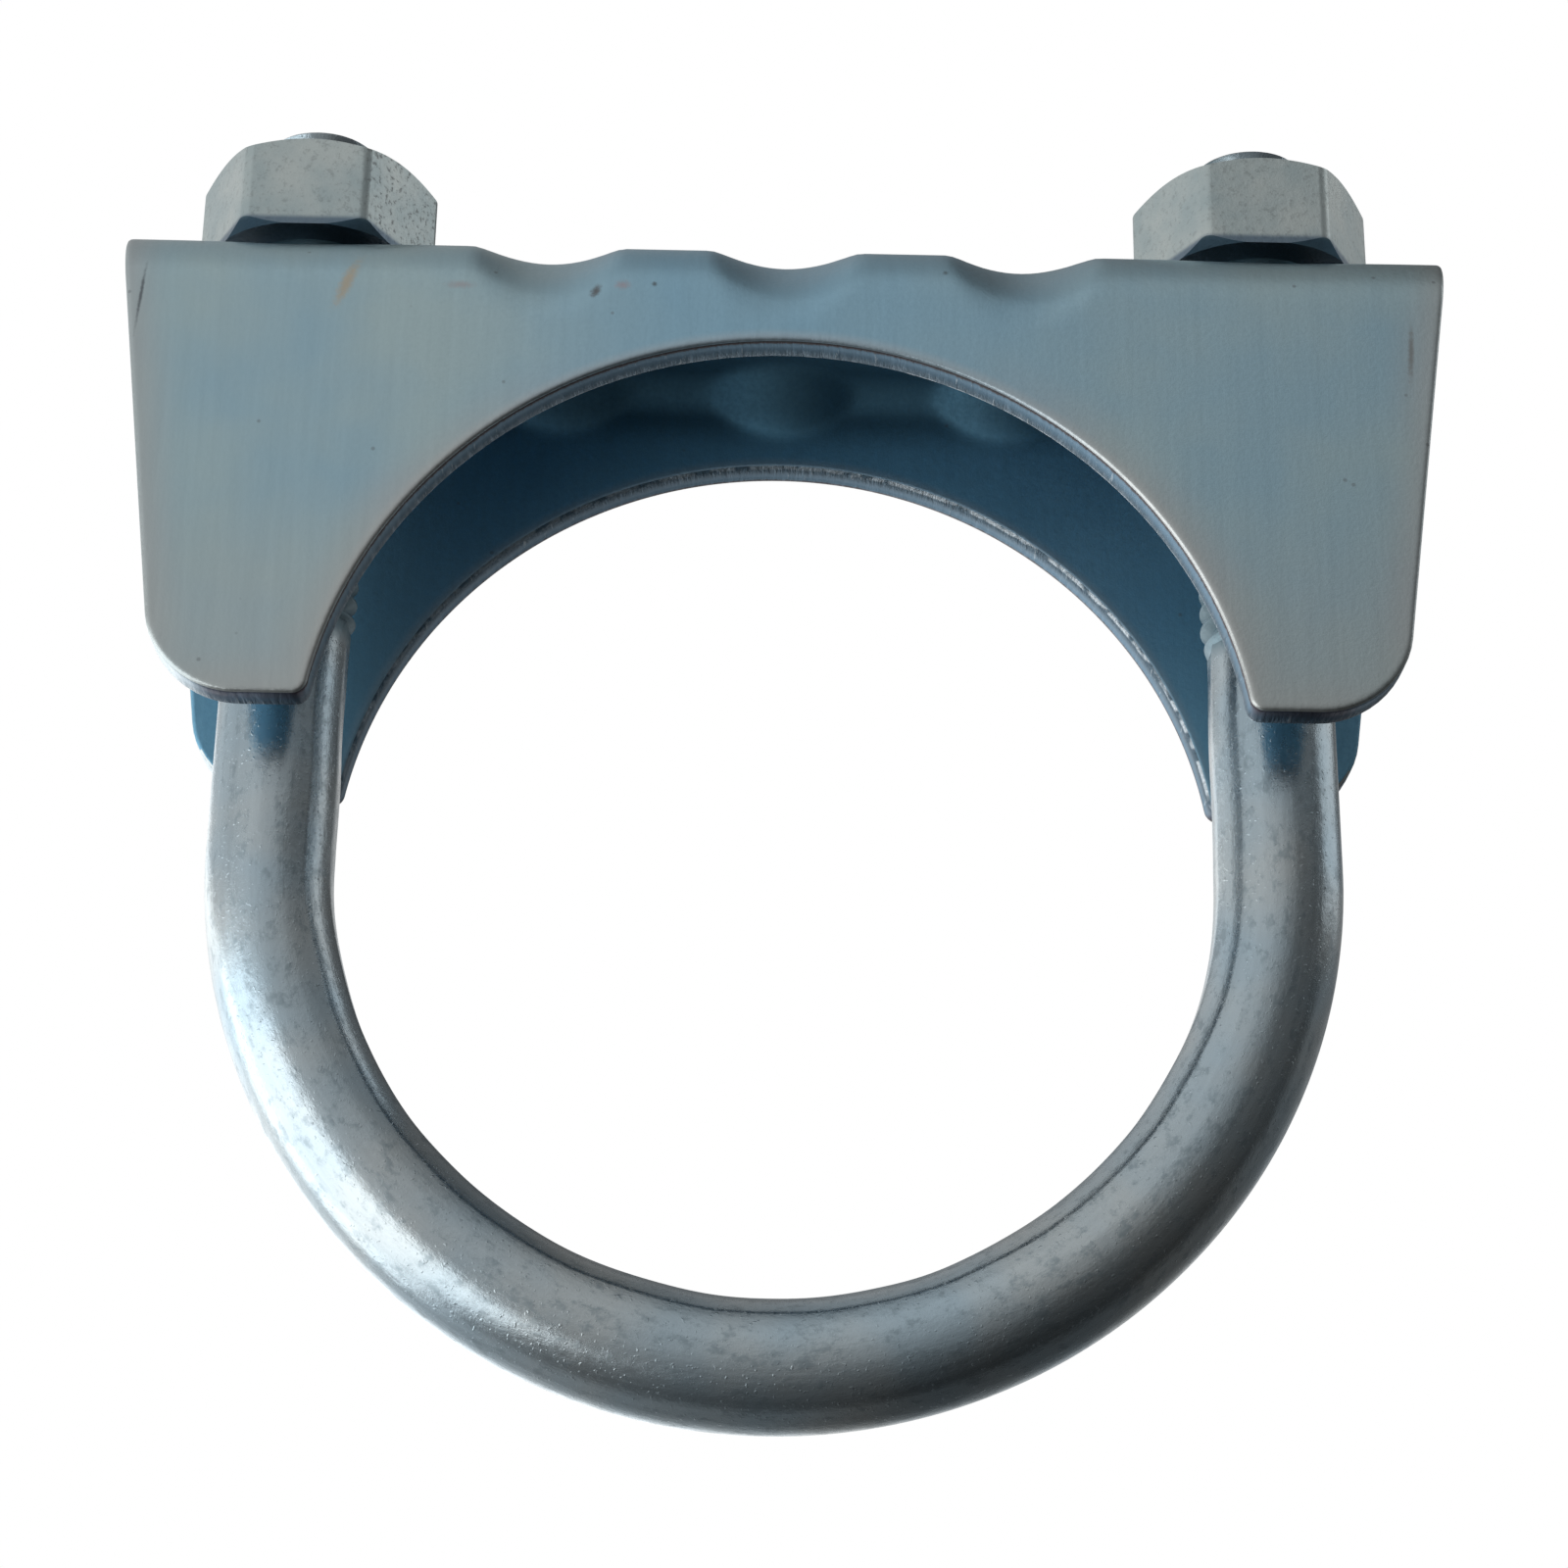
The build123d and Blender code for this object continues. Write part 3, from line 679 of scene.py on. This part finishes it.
def on_outer_skin(point):
    """Is this point nearer to the outside of the folded sheet than to its inside?"""
    out_y, out_z = HALF_DEPTH - abs(point.y), TOP_Z - point.z
    round_fold = math.hypot(max(FOLD + SHEET - out_y, 0), max(FOLD + SHEET - out_z, 0))
    return min(out_y, out_z) < SHEET / 2 or round_fold > FOLD + SHEET / 2


def from_hole(point):
    """How far a point is from the axis of the nearer leg hole."""
    return math.hypot(abs(point.x) - LEG_X, point.y)


def roll_rims(bm):
    """The die rolls the outer rim of the blank well over, and leaves the inner rim all but sharp."""
    bm.normal_update()
    outer, inner = [], []
    for e in bm.edges:
        middle = (e.verts[0].co + e.verts[1].co) / 2
        through = abs(e.verts[0].co.y - e.verts[1].co.y) > SHEET * 0.9 and middle.z < TOP_Z - SHEET
        in_hole = from_hole(middle) < HOLE_RADIUS + 0.1 * MM and middle.z > BAND_Z
        rim = len(e.link_faces) == 2 and e.calc_face_angle(0) > RIM_ANGLE
        if rim and not through and not in_hole:
            (outer if on_outer_skin(middle) else inner).append(e)
    bmesh.ops.bevel(bm, geom=outer, offset=DIE_ROLL, segments=8, profile=0.72, affect="EDGES", material=-1)
    bmesh.ops.bevel(bm, geom=[e for e in inner if e.is_valid], offset=INNER_ROLL, segments=3, profile=0.5,
                    affect="EDGES", material=-1)


def finish_of(face):
    """A face's finish: 0 on the outside, 1 where it looks into the channel, 2 on the sheared edge."""
    middle, normal = face.calc_center_median(), face.normal
    in_hole = from_hole(middle) < HOLE_RADIUS and abs(normal.z) < 0.3
    below_fold = middle.z < TOP_Z - FOLD - SHEET
    looks_in = -normal.y * middle.y + normal.z * (HOLLOW_Z - middle.z) > 0
    on_inner_rim = (abs(middle.y) < INNER + SHEET / 2
                    and math.hypot(middle.x, middle.z - ARCH_Z) < ARCH_RADIUS + 0.5 * MM)
    flat = abs(normal.y) > (0.95 if on_inner_rim else 0.4)
    if abs(normal.x) > 0.9 or (below_fold and not flat) or in_hole:
        return 2
    return 1 if looks_in else 0


def make_saddle():
    """The pressed sheet: an inverted channel with an arch in each flange, gussets in its folds and a
    rolled rim."""
    bm = blank_saddle()
    roll_rims(bm)
    bm.normal_update()
    for f in bm.faces:
        f.material_index = finish_of(f)
    piece = finish_mesh(bm, "saddle_sheet", [zinc_face, zinc_hollow, zinc_edge], sharp=32)
    shade_evenly(piece)
    return piece


def make_nut(name, x):
    """A forged hexagon, one flat to the front, chamfered at both ends and threaded right through."""
    corner = FLATS / math.sqrt(3)
    bm = bmesh.new()
    lathe(bm, x, [(BORE, NUT_Z + COUNTERSINK), (BORE + COUNTERSINK, NUT_Z),
                  (corner - BOTTOM_CHAMFER / CHAMFER_SLOPE, NUT_Z), (corner, NUT_Z + BOTTOM_CHAMFER),
                  (corner, NUT_TOP - TOP_CHAMFER), (corner - TOP_CHAMFER / CHAMFER_SLOPE, NUT_TOP),
                  (BORE + COUNTERSINK, NUT_TOP), (BORE, NUT_TOP - COUNTERSINK), (BORE, NUT_Z + COUNTERSINK)])
    bmesh.ops.remove_doubles(bm, verts=bm.verts, dist=MERGE)
    for i in range(6):
        facing = math.radians(30 + 60 * i)
        normal = Vector((math.cos(facing), math.sin(facing), 0))
        cut = bmesh.ops.bisect_plane(bm, geom=everything(bm), dist=CUT, plane_no=normal, clear_outer=True,
                                     plane_co=Vector((x, 0, 0)) + normal * FLATS / 2)
        rim = [g for g in cut["geom_cut"] if isinstance(g, bmesh.types.BMEdge)]
        bmesh.ops.contextual_create(bm, geom=rim)
    bmesh.ops.remove_doubles(bm, verts=bm.verts, dist=MERGE)
    posts = [e for e in bm.edges if rise_of(e) > (NUT_TOP - NUT_Z) / 2
             and math.hypot(e.verts[0].co.x - x, e.verts[0].co.y) > FLATS / 2]
    bmesh.ops.bevel(bm, geom=posts, offset=POST_ROUND, segments=4, profile=0.45, affect="EDGES", material=-1)

    # three turns of thread, with the ridge's crest and its foot at these radii
    crest, ridge_foot = STUD_ROOT + 0.18 * MM, STUD_ROOT + 0.95 * MM
    ridge = ((ridge_foot, 0.1), (crest, 0.44), (crest, 0.56), (ridge_foot, 0.9))
    first_turn = math.ceil((NUT_Z + COUNTERSINK - THREAD_START) / PITCH)
    thread = bmesh.new()
    screw(thread, x, ridge, THREAD_FOOT + PITCH * (first_turn + 0.5), turns=3)
    join(bm, thread)
    piece = finish_mesh(bm, name + "_hex", [zinc_nut], sharp=25)
    shade_evenly(piece)
    return piece


u_bolt = make_u_bolt()
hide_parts("u_bolt")
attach(u_bolt, "u_bolt")

saddle = make_saddle()
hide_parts("saddle")
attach(saddle, "saddle")

for node, x in (("nut_left", -LEG_X), ("nut_right", LEG_X)):
    nut = make_nut(node, x)
    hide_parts(node)
    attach(nut, node)


# Studio, in metres
FLOOR_Z = -0.4
FLOOR_HALF = 4.0
TENT_RADIUS = 1.0
TENT_STRENGTH = 4.8

# How bright the tent's paper is at each share of its radius, from -1 to 1: from left to right, from
# front to back, and from the bottom up
ACROSS = ((-1, 0.8), (-0.65, 0.92), (-0.4, 0.74), (0, 0.49), (0.4, 0.17), (1, 0.1))
BACKWARDS = ((-1, 0.175), (-0.35, 0.21), (-0.12, 0.14), (0.15, 0.5), (0.45, 0.38), (0.75, 0.48), (1, 1.0))
UPWARDS = ((-1, 0.18), (-0.8, 0.24), (-0.5, 0.42), (-0.2, 0.72), (0.1, 1.0), (1, 1.0))


def paper(name, code):
    """Matt studio paper."""
    material = bpy.data.materials.new(name)
    material.use_nodes = True
    shader = material.node_tree.nodes["Principled BSDF"]
    shader.inputs["Base Color"].default_value = linear(code)
    shader.inputs["Roughness"].default_value = 0.9
    shader.inputs["Specular IOR Level"].default_value = 0.1
    return material


def tent_paper():
    """The light tent's paper, lit from outside. It is bright on the left and low down behind, and
    darker in front, high up, on the right and under the part."""
    material = bpy.data.materials.new("light_tent_paper")
    material.use_nodes = True
    tree = material.node_tree
    tree.nodes.remove(tree.nodes["Principled BSDF"])
    place = add(tree, "ShaderNodeTexCoord").outputs["Object"]
    at = add(tree, "ShaderNodeSeparateXYZ", Vector=place)
    above = add(tree, "ShaderNodeMapRange", Value=at.outputs["Z"], From_Min=0.05, From_Max=1.0, To_Max=2.4)
    behind = add(tree, "ShaderNodeMath", MINUS, _0=at.outputs["Y"], _1=above)
    sideways = add(tree, "ShaderNodeMath", TIMES_PLUS, _0=at.outputs["Y"], _1=0.2, _2=at.outputs["X"])
    glow = None
    for share, stops in ((sideways, ACROSS), (behind, BACKWARDS), (at.outputs["Z"], UPWARDS)):
        factor = add(tree, "ShaderNodeMapRange", Value=share, From_Min=-1.0, From_Max=1.0)
        tone = add(tree, "ShaderNodeValToRGB", Fac=factor)
        band = tone.color_ramp
        band.interpolation = "EASE"
        for i, (where, level) in enumerate(stops):
            stop = band.elements[i] if i < 2 else band.elements.new((where + 1) / 2)
            stop.position = (where + 1) / 2
            stop.color = (level, level, level, 1)
        glow = add(tree, "ShaderNodeMix", SHADE, _0=1.0, _6=glow, _7=tone) if glow else tone
    light = add(tree, "ShaderNodeEmission", Color=glow, Strength=TENT_STRENGTH)
    tree.links.new(light.outputs["Emission"], tree.nodes["Material Output"].inputs["Surface"])
    return material


def stage(bm, name, material):
    """A piece of the studio, which isn't part of the object."""
    mesh = bpy.data.meshes.new(name)
    bm.to_mesh(mesh)
    bm.free()
    mesh.materials.append(material)
    mesh.shade_smooth()
    card = bpy.data.objects.new(name, mesh)
    bpy.context.collection.objects.link(card)
    return card


bm = bmesh.new()
bmesh.ops.create_grid(bm, x_segments=1, y_segments=1, size=FLOOR_HALF,
                      matrix=Matrix.Translation((0, 0, FLOOR_Z)))
floor = stage(bm, "floor", paper("pale_floor_paper", "#dfe1e2"))
floor.visible_glossy = False

# Only reflections see the tent, so that the floor and the background stay plain and pale
bm = bmesh.new()
bmesh.ops.create_icosphere(bm, subdivisions=5, radius=TENT_RADIUS)
bmesh.ops.reverse_faces(bm, faces=bm.faces)
tent = stage(bm, "light_tent", tent_paper())
tent.visible_camera = False
tent.visible_diffuse = False
tent.visible_shadow = False

world = bpy.data.worlds.new("studio")
bpy.context.scene.world = world
world.use_nodes = True
world.node_tree.nodes["Background"].inputs["Color"].default_value = (1, 1, 1, 1)


def lamp(name, place, width, height, power):
    """A soft rectangular lamp that looks at the part."""
    data = bpy.data.lights.new(name, "AREA")
    data.shape, data.size, data.size_y, data.energy = "RECTANGLE", width, height, power
    light = bpy.data.objects.new(name, data)
    light.location = place
    light.rotation_euler = (-Vector(place)).to_track_quat("-Z", "Y").to_euler()
    bpy.context.collection.objects.link(light)


lamp("window_left", place=(-0.4, -0.14, -0.155), width=0.72, height=0.42, power=1.6)
lamp("window_right", place=(0.42, 0.09, 0.25), width=0.36, height=0.33, power=0.3)
lamp("window_front", place=(0.18, -0.31, 0.35), width=0.7, height=0.4, power=0.14)

# The camera is where the photograph was taken from, in front of the part and below it, looking up
CAMERA_PLACE = (-1.3461 * MM, -175.6223 * MM, -61.0376 * MM)
CAMERA_TILT = math.pi / 2 + 0.3596
CAMERA_YAW = -0.0102
CAMERA_ROLL = 0.0148
SENSOR_MM = 36
LENS_MM = 72.52
CLIP = (0.005, 20)

lens = bpy.data.cameras.new("camera")
lens.sensor_width, lens.lens = SENSOR_MM, LENS_MM
lens.clip_start, lens.clip_end = CLIP
camera = bpy.data.objects.new("camera", lens)
camera.matrix_world = (Matrix.Translation(CAMERA_PLACE) @ Matrix.Rotation(CAMERA_YAW, 4, "Z")
                       @ Matrix.Rotation(CAMERA_TILT, 4, "X") @ Matrix.Rotation(CAMERA_ROLL, 4, "Z"))
bpy.context.collection.objects.link(camera)
bpy.context.scene.camera = camera
bpy.context.scene.view_settings.view_transform = "Standard"
